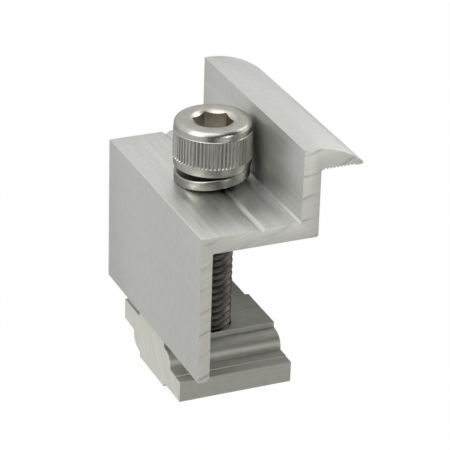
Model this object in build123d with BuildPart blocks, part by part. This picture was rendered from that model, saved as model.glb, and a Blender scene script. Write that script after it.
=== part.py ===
import math
import os

from build123d import *

# Solar end clamp for a 35 mm module frame, in millimetres.
# Origin on the bolt axis at the height of the leg's foot, X toward the module,
# Y along the clamp's sawn length, Z up.

# Clamp extrusion
clamp_length = 41.0
leg_thickness = 2.05
plate_thickness = 2.95
wall_thickness = 3.15
clamp_width = 20.5
frame_height = 35.0
lip_rise = 8.85
lip_reach = 7.35
lip_crown_height = 4.0
arch_radius = 15.5
arch_peak_inset = 0.65
tip_round = 0.35
foot_inner_round = 1.0
edge_round = 0.2
inner_round = 0.3
wall_foot_round = 0.4
edge_break = 0.05

# Serrated grip under the lip
tooth_count = 9
tooth_pitch = 0.62
tooth_depth = 0.3
tooth_start = 0.42

# Bolt hole and its drill groove
head_wall_gap = 0.35
clearance_hole = 9.0
hole_break = 0.2
groove_width = 1.36
groove_floor = 0.22
groove_depth = 0.5

# Socket head cap screw M8, whose tip ends this far below the leg's foot: 35 mm long for this frame
thread_major = 7.85
screw_reach = 5.9
head_diameter = 13.0
head_height = 8.0
head_round = 0.9
head_foot_chamfer = 0.2
socket_flats = 6.1
socket_depth = 4.2
socket_point = 0.7
socket_mouth = 7.8
mouth_depth = 0.5
socket_turn = 30.0
tip_chamfer = 0.9

# Straight knurl on the head
knurl_diameter = 13.2
knurl_bottom = 1.5
knurl_top = 6.3
flute_count = 62
flute_depth = 0.22

# Split spring washer, sprung open
washer_outer = 12.7
washer_bore = 8.45
washer_thickness = 1.8
washer_rise = 1.1
washer_head_gap = 0.05
split_angle = 50.0
split_gap = 8.0
rise_start = 135.0
rise_sweep = 110.0
section_step = 12.0
washer_edge_chamfer = 0.2

# Rail nut extrusion, drawn along X
nut_length = 20.3
nut_from_leg = 0.6
nut_half_depth = 12.74
nut_height = 8.5
nut_foot_gap = 0.7
nut_centre_y = 1.1
land_near = 5.4
land_far = 5.6
land_drop = 0.93
shoulder_reach = 6.85
shoulder_slope = 0.3
flank_reach = 8.4
flank_round = 2.2
land_round = 0.15
flange_recess = 3.95
flange_thickness = 3.75
step_run = 0.6
flange_edge_round = 0.2
ridge_reach = 10.65
ridge_height = 0.14
mark_width = 0.6
mark_depth = 0.18
bore_clearance = 0.05

# Derived places: the bolt stands off the wall by the head's radius and a gap
bolt_from_leg = clamp_width - wall_thickness - knurl_diameter / 2 - head_wall_gap
leg_outer_x = -bolt_from_leg
leg_inner_x = leg_outer_x + leg_thickness
wall_outer_x = leg_outer_x + clamp_width
wall_inner_x = wall_outer_x - wall_thickness
lip_tip_x = wall_outer_x + lip_reach
lip_under_z = frame_height
plate_top_z = frame_height - lip_rise
plate_under_z = plate_top_z - plate_thickness
crown_z = lip_under_z + lip_crown_height
arch_peak_x = wall_inner_x + arch_peak_inset
arch_centre_z = crown_z - arch_radius


def arch_z(x):
    return arch_centre_z + math.sqrt(arch_radius**2 - (x - arch_peak_x) ** 2)


# The serrations as points along the lip's underside, from the wall outward
first_tooth_x = wall_outer_x + tooth_start
grip_points = [(first_tooth_x, lip_under_z)]
for tooth in range(tooth_count):
    root_x = first_tooth_x + (tooth + 0.5) * tooth_pitch
    crest_x = first_tooth_x + (tooth + 1) * tooth_pitch
    grip_points.append((root_x, lip_under_z + tooth_depth))
    grip_points.append((crest_x, lip_under_z))

# Clamp: one Z-shaped extrusion with an arched lip
with BuildPart() as clamp:
    with BuildSketch(Plane.XZ) as clamp_profile:
        with BuildLine():
            Polyline(
                (wall_inner_x, arch_z(wall_inner_x)),
                (wall_inner_x, plate_top_z),
                (groove_width / 2, plate_top_z),
                (groove_floor / 2, plate_top_z - groove_depth),
                (-groove_floor / 2, plate_top_z - groove_depth),
                (-groove_width / 2, plate_top_z),
                (leg_outer_x, plate_top_z),
                (leg_outer_x, 0),
                (leg_inner_x, 0),
                (leg_inner_x, plate_under_z),
                (wall_outer_x, plate_under_z),
                (wall_outer_x, lip_under_z),
                *grip_points,
                (lip_tip_x, lip_under_z),
                (lip_tip_x, arch_z(lip_tip_x)),
            )
            ThreePointArc(
                (lip_tip_x, arch_z(lip_tip_x)),
                ((lip_tip_x + wall_inner_x) / 2, arch_z((lip_tip_x + wall_inner_x) / 2)),
                (wall_inner_x, arch_z(wall_inner_x)),
            )
        make_face()
        corner_rounds = [
            (lip_tip_x, lip_under_z, tip_round),
            (leg_inner_x, 0, foot_inner_round),
            (wall_inner_x, plate_top_z, wall_foot_round),
            (leg_inner_x, plate_under_z, inner_round),
            (wall_outer_x, lip_under_z, inner_round),
            (wall_outer_x, plate_under_z, inner_round),
            (leg_outer_x, plate_top_z, edge_round),
            (leg_outer_x, 0, edge_round),
            (wall_inner_x, arch_z(wall_inner_x), edge_round),
        ]
        for x, z, corner_radius in corner_rounds:
            fillet(clamp_profile.vertices().sort_by_distance((x, z, 0))[0], corner_radius)
    extrude(amount=clamp_length / 2, both=True)
    with Locations((0, 0, plate_top_z)):
        Hole(radius=clearance_hole / 2, depth=plate_thickness)
    rims = clamp.edges().filter_by(GeomType.CIRCLE)
    rims = [e for e in rims if abs(e.radius - clearance_hole / 2) < edge_break]
    chamfer([e for e in rims if e.center().Z < plate_under_z + edge_break], hole_break)
clamp.part.label = "clamp"

# Socket head cap screw: knurled head with a hex socket, plain full-diameter shank
washer_top_z = plate_top_z + washer_thickness + washer_rise
head_under_z = washer_top_z + washer_head_gap
head_top_z = head_under_z + head_height
screw_length = head_under_z + screw_reach
with BuildPart() as socket_screw:
    with BuildSketch(Plane.XY.offset(head_under_z)):
        Circle(head_diameter / 2)
    extrude(amount=head_height)
    top_edge = socket_screw.edges().filter_by(GeomType.CIRCLE).sort_by(Axis.Z)[-1]
    fillet(top_edge, head_round)
    foot_edge = socket_screw.edges().filter_by(GeomType.CIRCLE).sort_by(Axis.Z)[0]
    chamfer(foot_edge, head_foot_chamfer)
    with BuildSketch(Plane.XY.offset(head_under_z + knurl_bottom)):
        Circle(knurl_diameter / 2)
    extrude(amount=knurl_top - knurl_bottom)
    with BuildSketch(Plane.XY.offset(head_under_z + knurl_bottom)):
        with PolarLocations(knurl_diameter / 2, flute_count):
            Rectangle(flute_depth * math.sqrt(2), flute_depth * math.sqrt(2), rotation=45)
    extrude(amount=knurl_top - knurl_bottom, mode=Mode.SUBTRACT)
    with BuildSketch(Plane.XY.offset(head_top_z)):
        RegularPolygon(socket_flats / 2, 6, major_radius=False, rotation=socket_turn)
    extrude(amount=-socket_depth, mode=Mode.SUBTRACT)
    with Locations((0, 0, head_top_z)):
        Cone(
            bottom_radius=socket_flats / 2,
            top_radius=socket_mouth / 2,
            height=mouth_depth,
            align=(Align.CENTER, Align.CENTER, Align.MAX),
            mode=Mode.SUBTRACT,
        )
    with Locations((0, 0, head_top_z - socket_depth)):
        Cone(
            bottom_radius=0,
            top_radius=socket_flats / 2,
            height=socket_point,
            align=(Align.CENTER, Align.CENTER, Align.MAX),
            mode=Mode.SUBTRACT,
        )
    with BuildSketch(Plane.XY.offset(head_under_z)):
        Circle(thread_major / 2)
    extrude(amount=-screw_length)
    tip_edge = socket_screw.edges().filter_by(GeomType.CIRCLE).sort_by(Axis.Z)[0]
    chamfer(tip_edge, tip_chamfer)
socket_screw.part.label = "socket_screw"

# Split spring washer: a coil of square wire lofted round the screw
washer_mean = (washer_outer + washer_bore) / 4
washer_width = (washer_outer - washer_bore) / 2
coil_sweep = 360 - split_gap
coil_steps = round(coil_sweep / section_step)


def coil_rise(turned):
    travel = min(max((turned - rise_start) / rise_sweep, 0), 1)
    return washer_rise * travel * travel * (3 - 2 * travel)


with BuildPart() as spring_washer:
    for step in range(coil_steps + 1):
        turned = coil_sweep * step / coil_steps
        bearing = math.radians(split_angle + split_gap / 2 + turned)
        place = Plane(
            origin=(
                washer_mean * math.cos(bearing),
                washer_mean * math.sin(bearing),
                plate_top_z + washer_thickness / 2 + coil_rise(turned),
            ),
            x_dir=(math.cos(bearing), math.sin(bearing), 0),
            z_dir=(-math.sin(bearing), math.cos(bearing), 0),
        )
        with BuildSketch(place) as wire_section:
            Rectangle(washer_width, washer_thickness)
            chamfer(wire_section.vertices(), washer_edge_chamfer)
    loft()
spring_washer.part.label = "spring_washer"

# Rail nut: a profile with two flanges, the same turned half a turn about its centre
nut_top_z = -nut_foot_gap
nut_centre_z = nut_top_z - nut_height / 2
nut_start_x = leg_outer_x + nut_from_leg
half = nut_height / 2

# One half of the profile's outline, drawn from the near edge of the land
flange_near_z = half - flange_recess
land_foot_z = half - land_drop
half_outline = [
    (-land_near, half),
    (-land_near, land_foot_z),
    (-shoulder_reach, land_foot_z - shoulder_slope),
    (-flank_reach, land_foot_z - shoulder_slope - (flank_reach - shoulder_reach) / 2),
    (-flank_reach, flange_near_z + ridge_height),
    (-ridge_reach, flange_near_z + ridge_height),
    (-ridge_reach - ridge_height / 2, flange_near_z),
    (-nut_half_depth, flange_near_z),
    (-nut_half_depth, flange_near_z - flange_thickness),
    (-land_far - step_run, flange_near_z - flange_thickness),
    (-land_far, -half),
]
other_half = [(-y, -z) for y, z in half_outline]
outline_rounds = [
    (half_outline[0], land_round),
    (half_outline[3], flank_round),
    (half_outline[7], flange_edge_round),
    (half_outline[8], flange_edge_round),
    (half_outline[10], land_round),
]

with BuildPart() as rail_nut:
    end_face = Plane(origin=(nut_start_x, nut_centre_y, nut_centre_z), x_dir=(0, 1, 0), z_dir=(1, 0, 0))
    with BuildSketch(end_face) as nut_profile:
        with BuildLine():
            Polyline(
                *half_outline,
                *other_half,
                (mark_width / 2, half),
                (0, half - mark_depth),
                (-mark_width / 2, half),
                close=True,
            )
        make_face()
        for (y, z), corner_radius in outline_rounds:
            for side in (1, -1):
                fillet(nut_profile.vertices().sort_by_distance((side * y, side * z, 0))[0], corner_radius)
    extrude(amount=nut_length)
    with Locations((0, 0, nut_top_z)):
        Hole(radius=thread_major / 2 + bore_clearance)
rail_nut.part.label = "rail_nut"

os.makedirs("parts", exist_ok=True)
export_step(clamp.part, "parts/clamp.step")
export_step(socket_screw.part, "parts/socket_screw.step")
export_step(spring_washer.part, "parts/spring_washer.step")
export_step(rail_nut.part, "parts/rail_nut.step")
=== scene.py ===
import logging
import math
from dataclasses import dataclass
from enum import Enum
from functools import partial

import bmesh
import bpy
from bpy.types import Camera, Light, Material, Mesh, NodeOutputs, NodeSocket, NodeTree, Object
from mathutils import Matrix, Vector


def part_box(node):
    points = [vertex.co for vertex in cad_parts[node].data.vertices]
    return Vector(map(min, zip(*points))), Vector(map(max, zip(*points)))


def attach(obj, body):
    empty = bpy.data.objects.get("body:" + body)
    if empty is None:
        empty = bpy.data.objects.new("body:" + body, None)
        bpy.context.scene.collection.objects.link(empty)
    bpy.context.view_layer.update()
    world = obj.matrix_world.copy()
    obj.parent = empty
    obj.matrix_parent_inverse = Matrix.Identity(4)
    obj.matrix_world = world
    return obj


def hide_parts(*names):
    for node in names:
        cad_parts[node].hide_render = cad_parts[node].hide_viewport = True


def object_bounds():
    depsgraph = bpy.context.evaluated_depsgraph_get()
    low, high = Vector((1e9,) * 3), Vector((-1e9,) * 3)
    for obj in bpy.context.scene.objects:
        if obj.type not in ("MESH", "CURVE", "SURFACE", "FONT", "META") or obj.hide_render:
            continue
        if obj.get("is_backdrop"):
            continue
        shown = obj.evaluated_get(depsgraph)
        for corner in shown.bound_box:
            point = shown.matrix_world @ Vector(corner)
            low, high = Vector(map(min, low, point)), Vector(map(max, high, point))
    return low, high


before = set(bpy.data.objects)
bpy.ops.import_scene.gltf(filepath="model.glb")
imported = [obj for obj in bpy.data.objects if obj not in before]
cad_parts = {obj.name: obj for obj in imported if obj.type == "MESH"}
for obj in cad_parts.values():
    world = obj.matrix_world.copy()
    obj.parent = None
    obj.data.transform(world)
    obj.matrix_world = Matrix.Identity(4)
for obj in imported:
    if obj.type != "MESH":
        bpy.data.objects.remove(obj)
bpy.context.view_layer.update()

log = logging.getLogger("end_clamp")

MM = 0.001
"""One millimetre in the frame's metres."""

WHITE = (1.0, 1.0, 1.0, 1.0)
"""Plain white in linear light."""

NOISE_SPAN = (0.3, 0.7)
"""The values between which nearly all of a noise lies."""

Outline = list[tuple[float, float]]
"""A closed outline in a flat plane, in millimetres, counter-clockwise."""

Corner = tuple[float, float, float]
"""A corner's place in a flat plane and the radius that rounds it, in millimetres."""


class Body(Enum):
    """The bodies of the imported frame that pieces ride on."""

    CLAMP = "clamp_body"
    WASHER = "washer_body"
    SCREW = "screw_body"
    NUT = "nut_body"


class Grain(Enum):
    """The direction in which an extrusion left its die, as the scale of a pattern that runs that way."""

    ALONG_Y = (1.0, 0.012, 1.0)
    ALONG_X = (0.012, 1.0, 1.0)


@dataclass(frozen=True)
class Ramp:
    """A clamped ramp: the values at which it starts and ends, and what it gives there."""

    start: float
    end: float
    low: float = 0.0
    high: float = 1.0

    def inputs(self, value: NodeSocket) -> dict[str, object]:
        """Give the inputs of a Map Range node that runs a value through the ramp."""
        ends = {"From Min": self.start, "From Max": self.end, "To Min": self.low, "To Max": self.high}
        return {"Value": value, **ends}


def linear(code: str) -> tuple[float, float, float, float]:
    """Turn an sRGB hex colour into a linear colour.

    Args:
        code: The colour as six hex digits.

    Returns:
        Red, green, blue and alpha in linear light.
    """
    channels = [int(code[i : i + 2], 16) / 255 for i in (0, 2, 4)]
    return tuple(c / 12.92 if c <= 0.04045 else ((c + 0.055) / 1.055) ** 2.4 for c in channels) + (1.0,)


def polar(radius: float, bearing: float, height: float) -> Vector:
    """Give the point at a radius, a bearing in radians and a height about the bolt axis."""
    return Vector((radius * math.cos(bearing), radius * math.sin(bearing), height))


def add_node(
    tree: NodeTree, kind: str, inputs: dict[str | int, object] | None = None, **settings: object
) -> NodeOutputs:
    """Add a node with its settings, values and links.

    Args:
        tree: The tree that the node goes into.
        kind: The node's type name.
        inputs: For each input a value, an output socket to link from, or a list of such sockets.
        **settings: The node's own properties.

    Returns:
        The new node's outputs.
    """
    node = tree.nodes.new(kind)
    for name, value in settings.items():
        setattr(node, name, value)
    for key, value in (inputs or {}).items():
        if isinstance(value, (NodeSocket, list)):
            for source in value if isinstance(value, list) else [value]:
                tree.links.new(source, node.inputs[key])
        else:
            node.inputs[key].default_value = value
    return node.outputs


def shape_tree(name: str, inputs: dict[str, str], output: str) -> NodeTree:
    """Make an empty Geometry Nodes tree with named inputs.

    Args:
        name: The tree's name.
        inputs: The kind of socket for each input's name.
        output: The name of the shape that the tree gives.

    Returns:
        The tree.
    """
    tree = bpy.data.node_groups.new(name, "GeometryNodeTree")
    tree.is_modifier = True
    for label, kind in inputs.items():
        tree.interface.new_socket(label, in_out="INPUT", socket_type=f"NodeSocket{kind}")
    tree.interface.new_socket(output, in_out="OUTPUT", socket_type="NodeSocketGeometry")
    return tree


def new_object(name: str, data: Mesh | Camera | Light) -> Object:
    """Put a mesh, a camera or a light into the scene as an object at the origin.

    Args:
        name: The object's name.
        data: What the object shows.

    Returns:
        The object.
    """
    obj = bpy.data.objects.new(name, data)
    bpy.context.scene.collection.objects.link(obj)
    return obj


def bake_modifiers(obj: Object) -> None:
    """Replace an object's mesh by the evaluated one and drop its modifiers.

    Args:
        obj: The object.
    """
    bpy.context.view_layer.update()
    evaluated = obj.evaluated_get(bpy.context.evaluated_depsgraph_get())
    mesh = bpy.data.meshes.new_from_object(evaluated)
    mesh.name = obj.name
    obj.modifiers.clear()
    obj.data = mesh


def run_tree(obj: Object, tree: NodeTree, values: dict[str, object]) -> None:
    """Run a tree on an object and keep the result as its mesh.

    Args:
        obj: The object.
        tree: The tree.
        values: The tree's inputs by name.
    """
    modifier = obj.modifiers.new(tree.name, "NODES")
    modifier.node_group = tree
    for item in tree.interface.items_tree:
        if item.in_out == "INPUT" and item.name in values:
            modifier[item.identifier] = values[item.name]
    bake_modifiers(obj)


def shade_by_angle(obj: Object, degrees: float) -> None:
    """Shade an object smooth, with its edges sharper than an angle kept sharp.

    Args:
        obj: The object.
        degrees: The angle between faces from which an edge is sharp.
    """
    work = bmesh.new()
    work.from_mesh(obj.data)
    for face in work.faces:
        face.smooth = True
    for edge in work.edges:
        edge.smooth = len(edge.link_faces) == 2 and edge.calc_face_angle(0.0) < math.radians(degrees)
    work.to_mesh(obj.data)
    work.free()


def rounded(corners: list[Corner], steps: int = 6) -> Outline:
    """Round the corners of an outline.

    Args:
        corners: The corners; a radius of 0 keeps one sharp.
        steps: Straight runs in each rounding.

    Returns:
        The outline with its corners rounded.
    """
    outline: Outline = []
    for i, (x, y, radius) in enumerate(corners):
        here = Vector((x, y))
        if radius <= 0:
            outline.append((x, y))
            continue
        before = (Vector(corners[i - 1][:2]) - here).normalized()
        after = (Vector(corners[(i + 1) % len(corners)][:2]) - here).normalized()
        half = before.angle(after) / 2
        centre = here + (before + after).normalized() * (radius / math.sin(half))
        start = here + before * (radius / math.tan(half)) - centre
        turn = start.angle_signed(here + after * (radius / math.tan(half)) - centre)
        for step in range(steps + 1):
            spoke = Matrix.Rotation(-turn * step / steps, 2) @ start
            outline.append(tuple(centre + spoke))
    return outline


def loft(name: str, rings: list[list[Vector]], fans: bool = True) -> Object:
    """Join rings of points into a closed skin.

    Args:
        name: The object's name.
        rings: Rings with the same number of points, in mm, from the first to the last.
        fans: Whether a fan about its middle closes each end, and not one flat face.

    Returns:
        The object, with its faces pointing outwards.
    """
    work = bmesh.new()
    made = [[work.verts.new(point * MM) for point in ring] for ring in rings]
    count = len(rings[0])
    for here, there in zip(made, made[1:]):
        for i in range(count):
            j = (i + 1) % count
            work.faces.new((here[i], here[j], there[j], there[i]))
    if fans:
        for ring in (made[0], made[-1]):
            hub = work.verts.new(sum((v.co for v in ring), Vector()) / count)
            for i in range(count):
                work.faces.new((ring[i], ring[(i + 1) % count], hub))
    else:
        work.faces.new(made[0])
        work.faces.new(made[-1][::-1])
    bmesh.ops.recalc_face_normals(work, faces=work.faces)
    mesh = bpy.data.meshes.new(name)
    work.to_mesh(mesh)
    work.free()
    return new_object(name, mesh)


@dataclass(frozen=True)
class Finish:
    """A procedural finish, named for the real material and how its surface was made."""

    name: str

    def surface(self, tree: NodeTree) -> NodeSocket:
        """Lay the finish out.

        Args:
            tree: The material's empty tree.

        Returns:
            The shader.
        """
        raise NotImplementedError

    def build(self) -> Material:
        """Build the material.

        Returns:
            The finished material.
        """
        material = bpy.data.materials.new(self.name)
        material.use_nodes = True
        tree = material.node_tree
        tree.nodes.clear()
        add_node(tree, "ShaderNodeOutputMaterial", {"Surface": self.surface(tree)})
        return material


@dataclass(frozen=True, kw_only=True)
class Metal(Finish):
    """What the metals share: two tones, the tint of their gloss at the edges, and their roughness and bump."""

    light: str
    dark: str
    edge: str = "ffffff"
    metallic: float
    roughness: float
    rough_spread: tuple[float, float]
    bump_height: float
    bump_strength: float

    def metal(self, tree: NodeTree, colour: NodeSocket, wear: NodeSocket, relief: NodeSocket) -> NodeSocket:
        """Make the metal's shader.

        Args:
            tree: The material's tree.
            colour: The colour.
            wear: The noise that the roughness follows.
            relief: The height that the bump follows.

        Returns:
            The shader.
        """
        rough = Ramp(*NOISE_SPAN, *(self.roughness + spread for spread in self.rough_spread))
        bump = {"Height": relief, "Strength": self.bump_strength, "Distance": self.bump_height * MM}
        look = {
            "Base Color": colour,
            "Metallic": self.metallic,
            "Specular Tint": linear(self.edge),
            "Roughness": add_node(tree, "ShaderNodeMapRange", rough.inputs(wear))[0],
            "Normal": add_node(tree, "ShaderNodeBump", bump)[0],
        }
        return add_node(tree, "ShaderNodeBsdfPrincipled", look)[0]


@dataclass(frozen=True, kw_only=True)
class MillAluminium(Metal):
    """Mill-finish 6063 extrusion: satin grey metal with fine die lines along it and faint handling marks.

    The rubbed zone is given by its least X, its least Z and its greatest Z. Sizes in mm.
    """

    grain: Grain
    light: str = "d2d3cf"
    dark: str = "b6b7b3"
    pit: str = "6d6e6b"
    metallic: float = 0.9
    roughness: float = 0.38
    rough_spread: tuple[float, float] = (-0.04, 0.05)
    line_spacing: float = 0.3
    line_weight: float = 1.4
    line_share: float = 0.1
    rubbed_share: float = 0.55
    rubbed: tuple[float, float, float] = (-10.2, 25.0, 38.0)
    rubbed_fade: tuple[float, float, float] = (2.0, 1.0, -2.0)
    band_width: float = 2.2
    mottle_size: float = 1.3
    mottle_share: float = 0.3
    tone: Ramp = Ramp(-0.15, 0.45)
    pit_size: float = 0.55
    pit_edge: Ramp = Ramp(0.735, 0.775)
    pit_share: float = 0.35
    bump_height: float = 0.012
    bump_strength: float = 0.4

    def surface(self, tree: NodeTree) -> NodeSocket:
        """Lay out the die lines, the oxide bloom and the pits.

        Args:
            tree: The material's empty tree.

        Returns:
            The shader.
        """
        add = partial(add_node, tree)
        place = add("ShaderNodeTexCoord")["Object"]
        along = add("ShaderNodeMapping", {"Vector": place, "Scale": self.grain.value})[0]
        # The die lines are noise drawn out along the extrusion. Real ones lie closer, and these are as
        # coarse as they need to be to show as fine parallel scratches. The mottle is the oxide's faint
        # cloudiness, which keeps a large flat face from looking like plastic.
        lines, bands, mottle, specks = (
            add("ShaderNodeTexNoise", {"Vector": space, "Scale": 1 / (size * MM), "Detail": detail})["Fac"]
            for space, size, detail in (
                (along, self.line_spacing, 3.0),
                (along, self.band_width, 2.0),
                (place, self.mottle_size, 5.0),
                (place, self.pit_size, 1.0),
            )
        )
        weight = self.line_weight
        streaks = add("ShaderNodeMath", {0: lines, 1: weight, 2: bands}, operation="MULTIPLY_ADD")[0]
        middle = (weight + 1) / 2
        streaks = add("ShaderNodeMath", {0: streaks, 1: middle}, operation="SUBTRACT")[0]
        pits = add("ShaderNodeMapRange", self.pit_edge.inputs(specks))[0]
        # The lines show where the frame and the washer rubbed the bloom off, and hardly elsewhere
        split = add("ShaderNodeSeparateXYZ", {0: place})
        rubbed: float | NodeSocket = 1.0
        for axis, edge, fade in zip((0, 2, 2), self.rubbed, self.rubbed_fade):
            side = Ramp(edge * MM, (edge + fade) * MM)
            inside = add("ShaderNodeMapRange", side.inputs(split[axis]))[0]
            rubbed = add("ShaderNodeMath", {0: rubbed, 1: inside}, operation="MULTIPLY")[0]
        share = Ramp(0.0, 1.0, self.line_share, self.rubbed_share)
        shown = add("ShaderNodeMapRange", share.inputs(rubbed))[0]
        bloom = add("ShaderNodeMath", {0: mottle, 1: self.mottle_share}, operation="MULTIPLY")[0]
        shade = add("ShaderNodeMath", {0: streaks, 1: shown, 2: bloom}, operation="MULTIPLY_ADD")[0]
        tone = add("ShaderNodeMapRange", self.tone.inputs(shade))[0]
        tones = {6: linear(self.dark), 7: linear(self.light)}
        colour = add("ShaderNodeMix", {0: tone, **tones}, data_type="RGBA")[2]
        pitted = add("ShaderNodeMath", {0: pits, 1: self.pit_share}, operation="MULTIPLY")[0]
        colour = add("ShaderNodeMix", {0: pitted, 6: colour, 7: linear(self.pit)}, data_type="RGBA")[2]
        relief = add("ShaderNodeMath", {0: lines, 1: shown}, operation="MULTIPLY")[0]
        relief = add("ShaderNodeMath", {0: pits, 1: -1.0, 2: relief}, operation="MULTIPLY_ADD")[0]
        return self.metal(tree, colour, bands, relief)


@dataclass(frozen=True, kw_only=True)
class SawnAluminium(Metal):
    """A sawn end of an extrusion: warm bright metal crossed by slightly curved lines, one for each bite.

    The way along the cut and the way across it are unit vectors in the plane of the end. Sizes in mm.
    """

    along: tuple[float, float, float]
    across: tuple[float, float, float]
    light: str = "dddcd4"
    dark: str = "a9a8a0"
    metallic: float = 0.3
    roughness: float = 0.46
    rough_spread: tuple[float, float] = (-0.05, 0.08)
    bite: float = 1.85
    blade_radius: float = 150.0
    wander_size: float = 5.0
    line_edge: Ramp = Ramp(0.8, 0.99)
    line_depth: float = 0.62
    fade_size: float = 2.6
    fade: Ramp = Ramp(0.3, 0.62)
    scratch_spacing: float = 0.26
    scratch_stretch: float = 0.05
    scratch_tone: Ramp = Ramp(0.35, 0.75, high=0.24)
    cloud_size: float = 1.4
    cloud_tone: Ramp = Ramp(0.4, 0.65, high=0.12)
    line_relief: float = -1.4
    bump_height: float = 0.02
    bump_strength: float = 0.35

    def surface(self, tree: NodeTree) -> NodeSocket:
        """Lay out the saw's marks and the scratches along the cut.

        Args:
            tree: The material's empty tree.

        Returns:
            The shader.
        """
        add = partial(add_node, tree)
        place = add("ShaderNodeTexCoord")["Object"]
        run, rise = (
            add("ShaderNodeVectorMath", {0: place, 1: way}, operation="DOT_PRODUCT")["Value"]
            for way in (self.along, self.across)
        )
        # Saw marks are arcs of the blade's radius, so the height across them grows with the run squared
        bow = add("ShaderNodeMath", {0: run, 1: run}, operation="MULTIPLY")[0]
        bend = 1 / (2 * self.blade_radius * MM)
        curved = add("ShaderNodeMath", {0: bow, 1: bend, 2: rise}, operation="MULTIPLY_ADD")[0]
        stretched = add("ShaderNodeMath", {0: run, 1: self.scratch_stretch}, operation="MULTIPLY")[0]
        drawn = add("ShaderNodeCombineXYZ", {0: curved, 1: stretched})[0]
        wander, patches, scratches, clouds = (
            add("ShaderNodeTexNoise", {"Vector": space, "Scale": 1 / (size * MM), "Detail": detail})["Fac"]
            for space, size, detail in (
                (place, self.wander_size, 1.0),
                (place, self.fade_size, 2.0),
                (drawn, self.scratch_spacing, 3.0),
                (drawn, self.cloud_size, 2.0),
            )
        )
        bites = 1 / (self.bite * MM)
        phase = add("ShaderNodeMath", {0: curved, 1: bites, 2: wander}, operation="MULTIPLY_ADD")[0]
        tooth = add("ShaderNodeMath", {0: phase, 1: 1.0}, operation="PINGPONG")[0]
        line = add("ShaderNodeMapRange", self.line_edge.inputs(tooth), interpolation_type="SMOOTHSTEP")[0]
        # No mark runs right across: each fades where the blade ran free
        held, scratched, clouded = (
            add("ShaderNodeMapRange", ramp.inputs(marks))[0]
            for marks, ramp in ((patches, self.fade), (scratches, self.scratch_tone), (clouds, self.cloud_tone))
        )
        faded = add("ShaderNodeMath", {0: line, 1: held}, operation="MULTIPLY")[0]
        shade, relief = (
            add("ShaderNodeMath", {0: faded, 1: weight, 2: ground}, operation="MULTIPLY_ADD")[0]
            for weight, ground in ((self.line_depth, scratched), (self.line_relief, scratches))
        )
        shade = add("ShaderNodeMath", {0: clouded, 1: shade}, operation="ADD")[0]
        tones = {6: linear(self.light), 7: linear(self.dark)}
        colour = add("ShaderNodeMix", {0: shade, **tones}, data_type="RGBA")[2]
        return self.metal(tree, colour, scratches, relief)


@dataclass(frozen=True, kw_only=True)
class FormedStainless(Metal):
    """Cold-formed A2 stainless: warm grey, in soft clouds of lighter, smoother metal and darker, rougher metal.

    Sizes in mm.
    """

    light: str = "bbb9b3"
    dark: str = "acaaa4"
    edge: str = "c9c8c4"
    metallic: float = 1.0
    roughness: float = 0.3
    rough_spread: tuple[float, float] = (0.05, -0.03)
    cloud_size: float = 1.4
    grit: float = 0.12
    bump_height: float = 0.01
    bump_strength: float = 0.06

    def surface(self, tree: NodeTree) -> NodeSocket:
        """Lay out the clouds of wear and the grit.

        Args:
            tree: The material's empty tree.

        Returns:
            The shader.
        """
        add = partial(add_node, tree)
        place = add("ShaderNodeTexCoord")["Object"]
        # The grit is coarser than the real one, so that it just breaks up the highlights
        clouds, grit = (
            add("ShaderNodeTexNoise", {"Vector": place, "Scale": 1 / (size * MM), "Detail": detail})["Fac"]
            for size, detail in ((self.cloud_size, 4.0), (self.grit, 2.0))
        )
        tone = add("ShaderNodeMapRange", Ramp(*NOISE_SPAN).inputs(clouds))[0]
        tones = {6: linear(self.dark), 7: linear(self.light)}
        colour = add("ShaderNodeMix", {0: tone, **tones}, data_type="RGBA")[2]
        return self.metal(tree, colour, clouds, grit)


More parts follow.
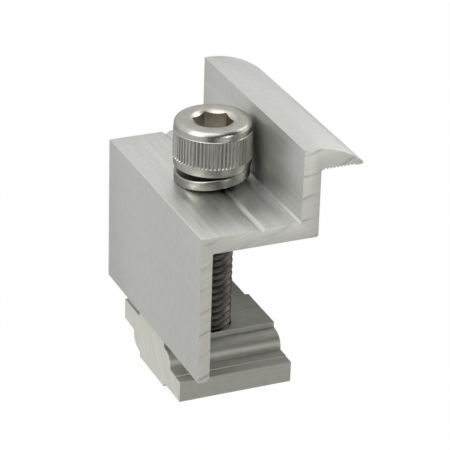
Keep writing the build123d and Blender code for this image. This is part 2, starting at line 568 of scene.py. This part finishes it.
@dataclass
class SawnExtrusion:
    """A bar pushed through a die, sawn to length, drilled and tumbled, built from one flat outline.

    The outline and the run are in metres and the other sizes in mm.
    """

    name: str
    outline: list[Vector]
    run: Vector
    skin: Material
    sawn: Material
    hole_radius: float
    drill_span: tuple[float, float]
    crease: float = 32.0
    even_faces: bool = False
    hole_sides: int = 96
    weld: float = 0.0005
    end_facing: float = 0.9
    break_width: float = 0.09
    break_angle: float = 28.0

    def tree(self) -> NodeTree:
        """Build the tree that draws the outline out along the bar and gives its faces their finishes.

        Returns:
            The tree, with inputs for the run and the two finishes.
        """
        tree = shape_tree(
            "sawn_extrusion",
            {"Outline": "Geometry", "Run": "Vector", "Skin": "Material", "Sawn end": "Material"},
            "Bar",
        )
        add = partial(add_node, tree)
        given = add("NodeGroupInput")
        drawn = add(
            "GeometryNodeExtrudeMesh",
            {"Mesh": given["Outline"], "Offset": given["Run"], "Individual": False},
            mode="FACES",
        )["Mesh"]
        near_end = add("GeometryNodeFlipFaces", {"Mesh": given["Outline"]})[0]
        whole = add("GeometryNodeJoinGeometry", {"Geometry": [near_end, drawn]})[0]
        closed = add("GeometryNodeMergeByDistance", {"Geometry": whole, "Distance": self.weld * MM})[0]
        # The sawn ends are the faces that look along the run
        way = add("ShaderNodeVectorMath", {0: given["Run"]}, operation="NORMALIZE")[0]
        normal = add("GeometryNodeInputNormal")["Normal"]
        facing = add("ShaderNodeVectorMath", {0: normal, 1: way}, operation="DOT_PRODUCT")["Value"]
        facing = add("ShaderNodeMath", {0: facing}, operation="ABSOLUTE")[0]
        is_end = add("ShaderNodeMath", {0: facing, 1: self.end_facing}, operation="GREATER_THAN")[0]
        solid = add("GeometryNodeRealizeInstances", {"Geometry": closed})[0]
        skinned = add("GeometryNodeSetMaterial", {"Geometry": solid, "Material": given["Skin"]})[0]
        ended = add(
            "GeometryNodeSetMaterial",
            {"Geometry": skinned, "Selection": is_end, "Material": given["Sawn end"]},
        )[0]
        add("NodeGroupOutput", {"Bar": ended})
        return tree

    def drill(self, obj: Object) -> None:
        """Cut the hole along Z on the bolt axis.

        Args:
            obj: The bar.
        """
        low, high = (height * MM for height in self.drill_span)
        radius = self.hole_radius * MM
        work = bmesh.new()
        bmesh.ops.create_cone(
            work, cap_ends=True, segments=self.hole_sides, radius1=radius, radius2=radius, depth=high - low
        )
        bmesh.ops.translate(work, verts=work.verts, vec=(0, 0, (low + high) / 2))
        mesh = bpy.data.meshes.new("drill")
        work.to_mesh(mesh)
        work.free()
        mesh.materials.append(self.sawn)
        cutter = new_object("drill", mesh)
        modifier = obj.modifiers.new("hole", "BOOLEAN")
        modifier.operation = "DIFFERENCE"
        modifier.solver = "EXACT"
        modifier.material_mode = "TRANSFER"
        modifier.object = cutter
        bake_modifiers(obj)
        bpy.data.objects.remove(cutter)

    def break_edges(self, obj: Object) -> None:
        """Round the sharp edges a little, as sawing, tumbling and handling leave them.

        Args:
            obj: The bar.
        """
        modifier = obj.modifiers.new("edges", "BEVEL")
        modifier.width = self.break_width * MM
        modifier.segments = 2
        modifier.limit_method = "ANGLE"
        modifier.angle_limit = math.radians(self.break_angle)
        bake_modifiers(obj)
        shade_by_angle(obj, self.crease)
        if self.even_faces:
            # The broad flat faces keep their own normals, and the breaks between them take up the turn
            modifier = obj.modifiers.new("normals", "WEIGHTED_NORMAL")
            modifier.keep_sharp = True
            modifier.weight = 100
            bake_modifiers(obj)

    def build(self) -> Object:
        """Draw the bar out, drill it and break its edges.

        Returns:
            The bar as a plain mesh.
        """
        mesh = bpy.data.meshes.new(self.name)
        mesh.from_pydata(self.outline, [], [list(range(len(self.outline)))])
        if mesh.polygons[0].normal.dot(self.run) < 0:
            mesh.flip_normals()
        mesh.materials.append(self.skin)
        obj = new_object(self.name, mesh)
        run_tree(obj, self.tree(), {"Run": tuple(self.run), "Skin": self.skin, "Sawn end": self.sawn})
        self.drill(obj)
        self.break_edges(obj)
        return obj


@dataclass
class EndClamp:
    """The Z-shaped clamp: leg, grooved plate, wall and an arched lip with a serrated underside. Sizes in mm."""

    leg_thickness: float = 2.05
    plate_thickness: float = 2.95
    wall_thickness: float = 3.15
    clamp_width: float = 20.5
    frame_height: float = 35.0
    lip_rise: float = 8.85
    lip_crown_height: float = 4.0
    arch_radius: float = 15.5
    arch_peak_inset: float = 0.65
    arch_stop: float = 0.3
    arch_runs: int = 28
    tooth_count: int = 9
    tooth_pitch: float = 0.62
    tooth_depth: float = 0.3
    tooth_start: float = 0.42
    groove_width: float = 1.36
    groove_floor: float = 0.22
    groove_depth: float = 0.5
    groove_round: float = 0.06
    outer_round: float = 0.2
    seat_round: float = 0.4
    foot_round: float = 1.0
    fillet: float = 0.3
    tip_round: float = 0.35
    tip_edge: float = 0.05
    hole_radius: float = 4.5
    drill_span: tuple[float, float] = (20.0, 28.0)
    saw_slant: float = 21.0

    def outline(self, low: Vector, high: Vector) -> Outline:
        """Draw the clamp's profile.

        Args:
            low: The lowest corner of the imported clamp, in mm.
            high: Its highest corner, in mm.

        Returns:
            The profile in X and Z.
        """
        leg_x = low.x
        inner_x = leg_x + self.leg_thickness
        wall_x = leg_x + self.clamp_width
        wall_in = wall_x - self.wall_thickness
        lip_z = self.frame_height
        plate_z = lip_z - self.lip_rise
        under_z = plate_z - self.plate_thickness
        peak_x = wall_in + self.arch_peak_inset
        centre_z = lip_z + self.lip_crown_height - self.arch_radius

        def arch(x: float) -> float:
            """Give the arch's height at x."""
            return centre_z + math.sqrt(self.arch_radius**2 - (x - peak_x) ** 2)

        groove = [
            (self.groove_width / 2, plate_z),
            (self.groove_floor / 2, plate_z - self.groove_depth),
            (-self.groove_floor / 2, plate_z - self.groove_depth),
            (-self.groove_width / 2, plate_z),
        ]
        first = wall_x + self.tooth_start
        teeth = [
            (first + half * self.tooth_pitch / 2, lip_z + self.tooth_depth * (half % 2), 0.0)
            for half in range(2 * self.tooth_count + 1)
        ]
        reach = wall_in + self.arch_stop - high.x
        crown = [high.x + reach * run / self.arch_runs for run in range(1, self.arch_runs + 1)]
        return rounded(
            [
                (wall_in, arch(wall_in), self.outer_round),
                (wall_in, plate_z, self.seat_round),
                *((x, z, self.groove_round) for x, z in groove),
                (leg_x, plate_z, self.outer_round),
                (leg_x, 0, self.outer_round),
                (inner_x, 0, self.foot_round),
                (inner_x, under_z, self.fillet),
                (wall_x, under_z, self.fillet),
                (wall_x, lip_z, self.fillet),
                *teeth,
                (high.x, lip_z, self.tip_round),
                (high.x, arch(high.x), self.tip_edge),
                *((x, arch(x), 0.0) for x in crown),
            ]
        )

    def build(self) -> Object:
        """Build, dress and place the clamp.

        Returns:
            The finished piece.
        """
        low, high = (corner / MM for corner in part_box("clamp"))
        slant = math.radians(self.saw_slant)
        obj = SawnExtrusion(
            "clamp_extrusion",
            [Vector((x, low.y, z)) * MM for x, z in self.outline(low, high)],
            Vector((0, (high.y - low.y) * MM, 0)),
            # Satin grey, with soft streaks where it was rubbed
            MillAluminium("mill_aluminium_clamp", grain=Grain.ALONG_Y).build(),
            # Warmer and brighter than the skin, with the saw's marks across each end
            SawnAluminium(
                "sawn_aluminium_clamp",
                along=(math.cos(slant), 0.0, math.sin(slant)),
                across=(-math.sin(slant), 0.0, math.cos(slant)),
            ).build(),
            self.hole_radius,
            self.drill_span,
        ).build()
        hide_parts("clamp")
        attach(obj, Body.CLAMP.value)
        return obj


@dataclass
class RailNut:
    """The rail nut: an extrusion along X whose profile is the same turned half a turn, bored for the screw.

    Sizes in mm, along Y from the profile's centre unless named otherwise.
    """

    half_depth: float = 12.74
    height: float = 8.5
    land_near: float = 5.4
    land_far: float = 5.6
    land_drop: float = 0.93
    land_round: float = 0.15
    shoulder_reach: float = 6.85
    shoulder_slope: float = 0.3
    shoulder_round: float = 0.05
    flank_reach: float = 8.4
    flank_slope: float = 0.5
    flank_round: float = 2.2
    flange_recess: float = 3.95
    flange_thickness: float = 3.75
    flange_edge: float = 0.12
    step_run: float = 0.6
    step_round: float = 0.1
    ridge_reach: float = 10.65
    ridge_height: float = 0.14
    ridge_foot: float = 0.06
    ridge_edge: float = 0.03
    mark_width: float = 0.5
    mark_depth: float = 0.07
    corner_runs: int = 8
    bore_radius: float = 3.975
    bore_clear: float = 1.0

    def outline(self, centre_y: float, centre_z: float) -> Outline:
        """Draw the nut's profile.

        Args:
            centre_y: The profile's centre along Y, in mm.
            centre_z: Its centre along Z, in mm.

        Returns:
            The profile in Y and Z.
        """
        half = self.height / 2
        flange = half - self.flange_recess
        under = flange - self.flange_thickness
        ridge = flange + self.ridge_height
        foot = half - self.land_drop
        shoulder = foot - self.shoulder_slope
        flank = shoulder - (self.flank_reach - self.shoulder_reach) * self.flank_slope
        near = [
            (-self.land_near, half, self.land_round),
            (-self.land_near, foot, self.shoulder_round),
            (-self.shoulder_reach, shoulder, 0.0),
            (-self.flank_reach, flank, self.flank_round),
            (-self.flank_reach, ridge, self.ridge_foot),
            (-self.ridge_reach, ridge, self.ridge_edge),
            (-self.ridge_reach - self.ridge_height / 2, flange, 0.0),
            (-self.half_depth, flange, self.flange_edge),
            (-self.half_depth, under, self.flange_edge),
            (-self.land_far - self.step_run, under, self.step_round),
            (-self.land_far, -half, self.land_round),
        ]
        far = [(-y, -z, radius) for y, z, radius in near]
        drill_mark = [
            (self.mark_width / 2, half, 0.0),
            (0.0, half - self.mark_depth, 0.0),
            (-self.mark_width / 2, half, 0.0),
        ]
        profile = rounded([*near, *far, *drill_mark], self.corner_runs)
        return [(y + centre_y, z + centre_z) for y, z in profile]

    def build(self) -> Object:
        """Build, dress and place the nut.

        Returns:
            The finished piece.
        """
        low, high = (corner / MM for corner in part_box("rail_nut"))
        middle = (low + high) / 2
        obj = SawnExtrusion(
            "nut_extrusion",
            [Vector((low.x, y, z)) * MM for y, z in self.outline(middle.y, middle.z)],
            Vector(((high.x - low.x) * MM, 0, 0)),
            # Duller than the clamp, as the nut was tumbled; its darker tones are painted shade, for the clamp's
            # shade over it
            MillAluminium(
                "mill_aluminium_nut",
                grain=Grain.ALONG_X,
                light="b8b8b0",
                dark="98988f",
                metallic=0.82,
                roughness=0.54,
                line_share=0.2,
            ).build(),
            # The same saw's marks as on the clamp, worn faint by the tumbling
            SawnAluminium(
                "sawn_aluminium_nut", along=(0.0, 0.64, 0.77), across=(0.0, -0.77, 0.64), line_depth=0.15
            ).build(),
            self.bore_radius,
            (low.z - self.bore_clear, high.z + self.bore_clear),
            crease=50.0,
            even_faces=True,
        ).build()
        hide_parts("rail_nut")
        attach(obj, Body.NUT.value)
        return obj


class GrooveTree:
    """A tree that presses grooves toward the bolt axis into a turned shape, between two heights."""

    def __init__(self, name: str, further: dict[str, str]) -> None:
        """Start the tree with each point's place, bearing and way outward.

        Args:
            name: The tree's name.
            further: The kind of socket for each further input's name.
        """
        sizes = dict.fromkeys(("Depth", "Low end", "High end", "Run-out"), "Float")
        self.tree = shape_tree(name, {"Shape": "Geometry", **sizes, "Finish": "Material", **further}, "Shape")
        self.add = partial(add_node, self.tree)
        self.given = self.add("NodeGroupInput")
        x, y, self.height = self.add("ShaderNodeSeparateXYZ", {0: self.add("GeometryNodeInputPosition")[0]})
        self.bearing = self.add("ShaderNodeMath", {0: y, 1: x}, operation="ARCTAN2")[0]
        self.outward = self.add("ShaderNodeCombineXYZ", {0: x, 1: y})[0]

    def press(self, groove: NodeSocket, easing: str) -> NodeSocket:
        """Press the grooves in and give the shape its finish.

        Args:
            groove: The share of the depth that each point takes, from 0 to 1.
            easing: How the grooves run out at their ends.

        Returns:
            The grooved and dressed shape.
        """
        add, given = self.add, self.given
        ended = []
        for end, sign in (("Low end", "ADD"), ("High end", "SUBTRACT")):
            full = add("ShaderNodeMath", {0: given[end], 1: given["Run-out"]}, operation=sign)[0]
            ended += add(
                "ShaderNodeMapRange",
                {"Value": self.height, "From Min": given[end], "From Max": full},
                interpolation_type=easing,
            )[:1]
        amount = ended[0]
        for factor in (ended[1], groove, given["Depth"], -1.0):
            amount = add("ShaderNodeMath", {0: amount, 1: factor}, operation="MULTIPLY")[0]
        way = add("ShaderNodeVectorMath", {0: self.outward}, operation="NORMALIZE")[0]
        offset = add("ShaderNodeVectorMath", {0: way, "Scale": amount}, operation="SCALE")[0]
        pressed = add("GeometryNodeSetPosition", {"Geometry": given["Shape"], "Offset": offset})[0]
        solid = add("GeometryNodeRealizeInstances", {"Geometry": pressed})[0]
        return add("GeometryNodeSetMaterial", {"Geometry": solid, "Material": given["Finish"]})[0]


@dataclass
class SocketScrew:
    """The M8 socket head cap screw: knurled head, hex socket and rolled thread. Sizes in mm."""

    head_radius: float = 6.5
    head_height: float = 8.0
    head_round: float = 0.9
    crown_runs: int = 8
    foot_round: float = 0.2
    foot_runs: int = 4
    neck_inset: float = 0.3
    head_crease: float = 38.0
    knurl_radius: float = 6.6
    knurl_bottom: float = 1.5
    knurl_top: float = 6.3
    knurl_ledge: float = 0.08
    knurl_rows: int = 26
    knurl_ease: float = 0.16
    knurl_margin: float = 0.05
    flute_count: int = 62
    flute_depth: float = 0.27
    flute_start: float = -0.45
    columns_per_flute: int = 8
    socket_flats: float = 6.1
    socket_turn: float = 30.0
    socket_corner: float = 29.0
    socket_depth: float = 4.2
    socket_levels: tuple[float, float] = (1.0, 2.5)
    socket_point: float = 0.7
    socket_mouth: float = 3.9
    socket_margin: float = 0.02
    mouth_depth: float = 0.5
    mouth_edge: float = 0.12
    mouth_ledge: float = 0.03
    point_radius: float = 0.3
    thread_major: float = 3.92
    thread_pitch: float = 1.25
    thread_depth: float = 0.62
    thread_columns: int = 72
    rows_per_pitch: int = 16
    thread_crease: float = 50.0
    tip_length: float = 0.9
    tip_taper: float = 0.8

    def head_rings(self, base: float) -> list[list[Vector]]:
        """Lay out the head's skin, from under the head round the outside and down into the socket.

        Args:
            base: The height of the head's underside.

        Returns:
            The rings of points.
        """
        count = self.flute_count * self.columns_per_flute
        bearings = [2 * math.pi * i / count for i in range(count)]
        radius, mouth, edge = self.head_radius, self.socket_mouth, self.mouth_edge
        top = base + self.head_height
        low, high = base + self.knurl_bottom, base + self.knurl_top
        rows = self.knurl_rows
        foot = [math.pi / 2 * run / self.foot_runs for run in range(1, self.foot_runs + 1)]
        crown = [math.pi / 2 * run / self.crown_runs for run in range(self.crown_runs + 1)]
        outside = [
            (self.thread_major - self.neck_inset, base),
            (radius - self.foot_round, base),
            *(
                (radius - self.foot_round * (1 - math.sin(t)), base + self.foot_round * (1 - math.cos(t)))
                for t in foot
            ),
            (radius, low - self.knurl_ledge),
            *((self.knurl_radius, low + (high - low) * row / rows) for row in range(rows + 1)),
            (radius, high + self.knurl_ledge),
            *(
                (radius - self.head_round * (1 - math.cos(t)), top - self.head_round * (1 - math.sin(t)))
                for t in crown
            ),
            (mouth + edge, top),
            (mouth + edge * 0.3, top - edge * 0.2),
        ]
        rings = [[polar(r, a, z) for a in bearings] for r, z in outside]
        # The hex, with each corner cut a little short, and the countersink that runs down into it
        half = self.socket_flats / 2
        slope = self.mouth_depth / (mouth - half)
        turn = math.radians(self.socket_turn)
        corner = half / math.cos(math.radians(self.socket_corner))
        flats = [min(half / math.cos(((a - turn) % (math.pi / 3)) - math.pi / 6), corner) for a in bearings]
        for share in (0.0, 0.5, 1.0):
            cone = [mouth + (flat - mouth) * share for flat in flats]
            rings.append(
                [polar(r, a, top - (mouth - r) * slope - self.mouth_ledge) for r, a in zip(cone, bearings)]
            )
        for depth in (*self.socket_levels, self.socket_depth):
            rings.append([polar(flat, a, top - depth) for flat, a in zip(flats, bearings)])
        floor = top - self.socket_depth - self.socket_point
        rings.append([polar(self.point_radius, a, floor) for a in bearings])
        return rings

    def thread_rings(self, low: float, base: float) -> list[list[Vector]]:
        """Lay out the plain shank, tapered at its tip, that the thread is rolled into.

        Args:
            low: The height of the screw's tip.
            base: The height of the head's underside.

        Returns:
            The rings of points.
        """
        bearings = [2 * math.pi * i / self.thread_columns for i in range(self.thread_columns)]
        length = base - low
        rows = round(length / self.thread_pitch * self.rows_per_pitch)
        rings = []
        for row in range(rows + 1):
            z = low + length * row / rows
            taper = max(0.0, 1 - (z - low) / self.tip_length) * self.tip_taper
            rings.append([polar(self.thread_major - taper, a, z) for a in bearings])
        return rings

    def knurl_tree(self) -> NodeTree:
        """Build the tree that presses straight flutes into a band of the head.

        Returns:
            The tree.
        """
        sizes = dict.fromkeys(("Flutes", "Least radius", "Socket radius"), "Float")
        work = GrooveTree("straight_knurl", {**sizes, "Socket painted light": "Material"})
        add, given = work.add, work.given
        turns = add("ShaderNodeMath", {0: work.bearing, 1: given["Flutes"]}, operation="MULTIPLY")[0]
        wave = add("ShaderNodeMath", {0: turns}, operation="COSINE")[0]
        # A flute is a round-bottomed groove between narrow lands
        round_bottom = Ramp(self.flute_start, 1.0)
        flute = add("ShaderNodeMapRange", round_bottom.inputs(wave), interpolation_type="SMOOTHSTEP")[0]
        radius = add("ShaderNodeVectorMath", {0: work.outward}, operation="LENGTH")["Value"]
        outer = add("ShaderNodeMath", {0: radius, 1: given["Least radius"]}, operation="GREATER_THAN")[0]
        flute = add("ShaderNodeMath", {0: flute, 1: outer}, operation="MULTIPLY")[0]
        dressed = work.press(flute, "SMOOTHSTEP")
        # Inside the socket the walls take the lighter finish: painted light in the recess
        near_axis = add("ShaderNodeMath", {0: radius, 1: given["Socket radius"]}, operation="LESS_THAN")[0]
        foot = given["Low end"]
        above_foot = add("ShaderNodeMath", {0: work.height, 1: foot}, operation="GREATER_THAN")[0]
        in_socket = add("ShaderNodeMath", {0: near_axis, 1: above_foot}, operation="MULTIPLY")[0]
        dressed = add(
            "GeometryNodeSetMaterial",
            {"Geometry": dressed, "Selection": in_socket, "Material": given["Socket painted light"]},
        )[0]
        add("NodeGroupOutput", {0: dressed})
        return work.tree

    def thread_tree(self) -> NodeTree:
        """Build the tree that rolls a right-hand thread into a plain shank.

        Returns:
            The tree.
        """
        work = GrooveTree("rolled_thread", {"Pitch": "Float"})
        add = work.add
        turn = add("ShaderNodeMath", {0: work.bearing, 1: 2 * math.pi}, operation="DIVIDE")[0]
        height = add("ShaderNodeMath", {0: work.height, 1: work.given["Pitch"]}, operation="DIVIDE")[0]
        phase = add("ShaderNodeMath", {0: height, 1: turn}, operation="SUBTRACT")[0]
        phase = add("ShaderNodeMath", {0: phase, 1: 1.0, 2: 0.0}, operation="WRAP")[0]
        valley = add("ShaderNodeMath", {0: phase, 1: 0.5}, operation="SUBTRACT")[0]
        valley = add("ShaderNodeMath", {0: valley}, operation="ABSOLUTE")[0]
        # The flanks run from a crest an eighth of the pitch wide to a root a quarter wide
        flank = Ramp(0.5 - 1 / 16, 1 / 8)
        groove = add("ShaderNodeMapRange", flank.inputs(valley))[0]
        add("NodeGroupOutput", {0: work.press(groove, "LINEAR")})
        return work.tree

    def build(self) -> list[Object]:
        """Build, dress and place the screw.

        Returns:
            The head and the threaded shank.
        """
        low, high = (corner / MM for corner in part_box("socket_screw"))
        base = high.z - self.head_height
        # The head was polished by the die: mid grey, with bright lands and one soft highlight on each round
        bright = FormedStainless("stainless_head").build()
        # The socket's walls take a lighter copy of the stainless: painted light for the light that bounces
        # about inside the socket, so that the socket doesn't sink into black
        socket_painted_light = FormedStainless("stainless_socket_painted_light", light="d3d0c6", dark="bdb9af", roughness=0.3).build()
        # The rolled thread is dull, with no glint on its crests; its dark tones and dark edge tint are painted
        # shade, for the clamp's shade over it
        thread_painted_shade = FormedStainless(
            "stainless_thread_painted_shade", light="726f6a", dark="565450", edge="4a4945", roughness=0.5
        ).build()

        head = loft("screw_head", self.head_rings(base))
        sizes = {
            "Depth": self.flute_depth,
            "Low end": base + self.knurl_bottom,
            "High end": base + self.knurl_top,
            "Run-out": self.knurl_ease,
            "Least radius": self.head_radius + self.knurl_margin,
            "Socket radius": self.socket_mouth - self.socket_margin,
        }
        values = {name: size * MM for name, size in sizes.items()}
        finishes = {"Finish": bright, "Socket painted light": socket_painted_light}
        run_tree(head, self.knurl_tree(), {"Flutes": float(self.flute_count), **values, **finishes})
        shade_by_angle(head, self.head_crease)

        shank = loft("screw_thread", self.thread_rings(low.z, base))
        sizes = {
            "Pitch": self.thread_pitch,
            "Depth": self.thread_depth,
            "Low end": low.z,
            "High end": base,
            "Run-out": self.tip_length,
        }
        values = {name: size * MM for name, size in sizes.items()}
        run_tree(shank, self.thread_tree(), {**values, "Finish": thread_painted_shade})
        shade_by_angle(shank, self.thread_crease)
        for piece in (head, shank):
            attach(piece, Body.SCREW.value)
        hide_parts("socket_screw")
        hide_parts("socket_screw")
        return [head, shank]


@dataclass
class SpringWasher:
    """The split spring washer, sprung open between the plate and the head. Sizes in mm and degrees."""

    outer: float = 6.35
    bore: float = 4.225
    thickness: float = 1.8
    outer_round: float = 0.3
    bore_round: float = 0.18
    corner_runs: int = 4
    rise: float = 1.1
    rise_start: float = 135.0
    rise_sweep: float = 110.0
    split_angle: float = 50.0
    split_gap: float = 8.0
    stations: int = 132
    crease: float = 35.0

    def lift(self, turned: float) -> float:
        """Give the coil's height after a turn from its lower end.

        Args:
            turned: Degrees from the lower end.

        Returns:
            The height above the plate.
        """
        travel = min(max((turned - self.rise_start) / self.rise_sweep, 0), 1)
        return self.rise * travel * travel * (3 - 2 * travel)

    def build(self) -> Object:
        """Build, dress and place the washer.

        Returns:
            The finished piece.
        """
        low, _ = (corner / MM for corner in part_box("spring_washer"))
        section = rounded(
            [
                (self.bore, 0, self.bore_round),
                (self.outer, 0, self.outer_round),
                (self.outer, self.thickness, self.outer_round),
                (self.bore, self.thickness, self.bore_round),
            ],
            self.corner_runs,
        )
        rings = []
        for station in range(self.stations + 1):
            turned = (360 - self.split_gap) * station / self.stations
            bearing = math.radians(self.split_angle + self.split_gap / 2 + turned)
            height = low.z + self.lift(turned)
            rings.append([polar(r, bearing, z + height) for r, z in section])
        obj = loft("spring_washer_coil", rings, fans=False)
        # Tumbled wire: darker than the head, and smooth enough for one clear highlight along its rim
        finish = FormedStainless("stainless_washer", light="a6a49d", dark="8e8c85", roughness=0.28).build()
        obj.data.materials.append(finish)
        shade_by_angle(obj, self.crease)
        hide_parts("spring_washer")
        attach(obj, Body.WASHER.value)
        return obj


def seen_or_mirrored(tree: NodeTree) -> NodeSocket:
    """Tell the rays that show a surface, straight, mirrored or through glass, from those that light one.

    Args:
        tree: The tree of the floor or the world.

    Returns:
        1 for a ray that shows the surface and 0 for one that lights another.
    """
    path = add_node(tree, "ShaderNodeLightPath")
    shown = path["Is Camera Ray"]
    for ray in ("Is Glossy Ray", "Is Transmission Ray"):
        shown = add_node(tree, "ShaderNodeMath", {0: shown, 1: path[ray]}, operation="MAXIMUM")[0]
    return shown


@dataclass(frozen=True)
class StudioBoard(Finish):
    """Matt white board: plain white to the camera with a soft shadow on it, and a pale grey in bright metal."""

    matt: str = "acacaa"
    white_seen: float = 0.99
    white_mirrored: float = 0.625

    def surface(self, tree: NodeTree) -> NodeSocket:
        """Mix plain white into the matt board for the rays that show it.

        Args:
            tree: The material's empty tree.

        Returns:
            The shader.
        """
        add = partial(add_node, tree)
        matt = add("ShaderNodeBsdfDiffuse", {"Color": linear(self.matt)})[0]
        white = add("ShaderNodeEmission", {"Color": WHITE, "Strength": 1.0})[0]
        straight = add("ShaderNodeLightPath")["Is Camera Ray"]
        least = self.white_mirrored
        more = self.white_seen - least
        share = add("ShaderNodeMath", {0: straight, 1: more, 2: least}, operation="MULTIPLY_ADD")[0]
        share = add("ShaderNodeMath", {0: seen_or_mirrored(tree), 1: share}, operation="MULTIPLY")[0]
        return add("ShaderNodeMixShader", {0: share, 1: matt, 2: white})[0]


@dataclass(frozen=True)
class BlackCard(Finish):
    """Black card: matt and nearly black, so that bright metal has a dark edge to mirror."""

    matt: str = "303030"

    def surface(self, tree: NodeTree) -> NodeSocket:
        """Lay the plain matt card out.

        Args:
            tree: The material's empty tree.

        Returns:
            The shader.
        """
        return add_node(tree, "ShaderNodeBsdfDiffuse", {"Color": linear(self.matt)})[0]


@dataclass(frozen=True)
class DarkCard:
    """A dark card bent round the studio, which bright metal shows as a dark band and no camera sees.

    Its left and right edges are in degrees from the front, positive to the right. Its folds are given by
    their distance and height in mm, from the object outwards.
    """

    name: str
    edges: tuple[float, float]
    folds: tuple[tuple[float, float], ...]
    runs: int = 8

    def build(self, finish: Material) -> None:
        """Bend the card and stand it up.

        Args:
            finish: The card's finish.
        """
        left, right = self.edges
        turns = [math.radians(left + (right - left) * run / self.runs) for run in range(self.runs + 1)]
        low = Vector((0, 0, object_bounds()[0].z))
        points = [
            Vector((far * math.sin(t), -far * math.cos(t), height)) * MM + low
            for far, height in self.folds
            for t in turns
        ]
        width = self.runs + 1
        faces = [
            (row * width + i, row * width + i + 1, (row + 1) * width + i + 1, (row + 1) * width + i)
            for row in range(len(self.folds) - 1)
            for i in range(self.runs)
        ]
        mesh = bpy.data.meshes.new(self.name)
        mesh.from_pydata(points, [], faces)
        mesh.materials.append(finish)
        obj = new_object(self.name, mesh)
        obj.visible_camera = False
        obj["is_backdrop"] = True


@dataclass(frozen=True)
class Lamp:
    """A soft square lamp: its place and the length of its side in mm, and its power in watts."""

    name: str
    place: tuple[float, float, float]
    side: float
    power: float

    def build(self, target: Vector) -> None:
        """Hang the lamp so that it faces the object.

        Args:
            target: The point that it faces, in mm.
        """
        data = bpy.data.lights.new(self.name, "AREA")
        data.shape = "SQUARE"
        data.size = self.side * MM
        data.energy = self.power
        lamp = new_object(self.name, data)
        lamp.location = Vector(self.place) * MM
        lamp.rotation_euler = (Vector(self.place) - target).to_track_quat("Z", "Y").to_euler()
        lamp.visible_camera = False


@dataclass
class Studio:
    """The floor, the light and the camera. Sizes in mm and degrees."""

    azimuth: float = -23.908
    elevation: float = 26.129
    roll: float = 1.754
    distance: float = 408.361
    lens: float = 194.491
    sensor: float = 36.0
    clip: tuple[float, float] = (10.0, 20000.0)
    target: tuple[float, float, float] = (2.666, 0.0, 17.077)
    floor_size: float = 3000.0
    floor_gap: float = 3.8  # the loosened screw lets the nut down by 3.75 mm, clear of the floor
    world_light: float = 0.35
    cards: tuple[DarkCard, ...] = (
        DarkCard("dark_card_low", (-40, -12), ((48, 1), (300, 1))),
        DarkCard("dark_card_high", (-42, 108), ((330, 1), (560, 90), (560, 620), (400, 860), (240, 960))),
        DarkCard("dark_card_back", (112, 164), ((40, 1), (40, 38))),
    )
    lamps: tuple[Lamp, ...] = (
        Lamp("overhead_softbox", (-170, -110, 450), 520, 1.4),
        Lamp("right_softbox", (360, 60, 260), 300, 0.6),
        Lamp("left_softbox", (-460, -150, 200), 300, 1.0),
        Lamp("front_fill", (130, -330, 60), 160, 0.33),
    )

    def camera(self) -> None:
        """Set the camera at the photograph's view."""
        a, e, t = (math.radians(v) for v in (self.azimuth, self.elevation, self.roll))
        back = Vector((math.sin(a) * math.cos(e), -math.cos(a) * math.cos(e), math.sin(e)))
        right = Vector((math.cos(a), math.sin(a), 0))
        up = back.cross(right)
        turned_right = right * math.cos(t) + up * math.sin(t)
        turned_up = up * math.cos(t) - right * math.sin(t)
        data = bpy.data.cameras.new("camera")
        data.lens = self.lens
        data.sensor_width = self.sensor
        data.clip_start, data.clip_end = (reach * MM for reach in self.clip)
        camera = new_object("camera", data)
        turn = Matrix((turned_right, turned_up, back)).transposed().to_4x4()
        place = (Vector(self.target) + back * self.distance) * MM
        camera.matrix_world = Matrix.Translation(place) @ turn
        bpy.context.scene.camera = camera

    def floor(self, height: float) -> None:
        """Lay a white floor under the object.

        Args:
            height: The floor's height in metres.
        """
        half = self.floor_size / 2 * MM
        corners = [(x * half, y * half, height) for x, y in ((-1, -1), (1, -1), (1, 1), (-1, 1))]
        mesh = bpy.data.meshes.new("floor")
        mesh.from_pydata(corners, [], [(0, 1, 2, 3)])
        mesh.materials.append(StudioBoard("white_studio_floor").build())
        obj = new_object("floor", mesh)
        obj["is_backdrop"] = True

    def world(self) -> None:
        """Give the world a soft even light that the camera sees as white."""
        world = bpy.data.worlds.new("studio")
        bpy.context.scene.world = world
        world.use_nodes = True
        world.node_tree.nodes.clear()
        add = partial(add_node, world.node_tree)
        soft, white = (
            add("ShaderNodeBackground", {"Color": WHITE, "Strength": strength})[0]
            for strength in (self.world_light, 1.0)
        )
        mixed = add("ShaderNodeMixShader", {0: seen_or_mirrored(world.node_tree), 1: soft, 2: white})[0]
        add("ShaderNodeOutputWorld", {"Surface": mixed})

    def build(self) -> None:
        """Set up the view settings, the camera, the floor and the light."""
        bpy.context.scene.view_settings.view_transform = "Standard"
        self.camera()
        self.floor(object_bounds()[0].z - self.floor_gap * MM)
        black = BlackCard("black_card").build()
        for card in self.cards:
            card.build(black)
        self.world()
        for lamp in self.lamps:
            lamp.build(Vector(self.target))


def main() -> None:
    """Build the clamp, its fastener and the studio, and report each piece."""
    logging.basicConfig(level=logging.INFO, format="%(name)s: %(message)s")
    pieces = [EndClamp().build(), RailNut().build(), *SocketScrew().build(), SpringWasher().build()]
    for piece in pieces:
        log.info("%s: %d faces", piece.name, len(piece.data.polygons))
    Studio().build()


if __name__ == "__main__":
    main()
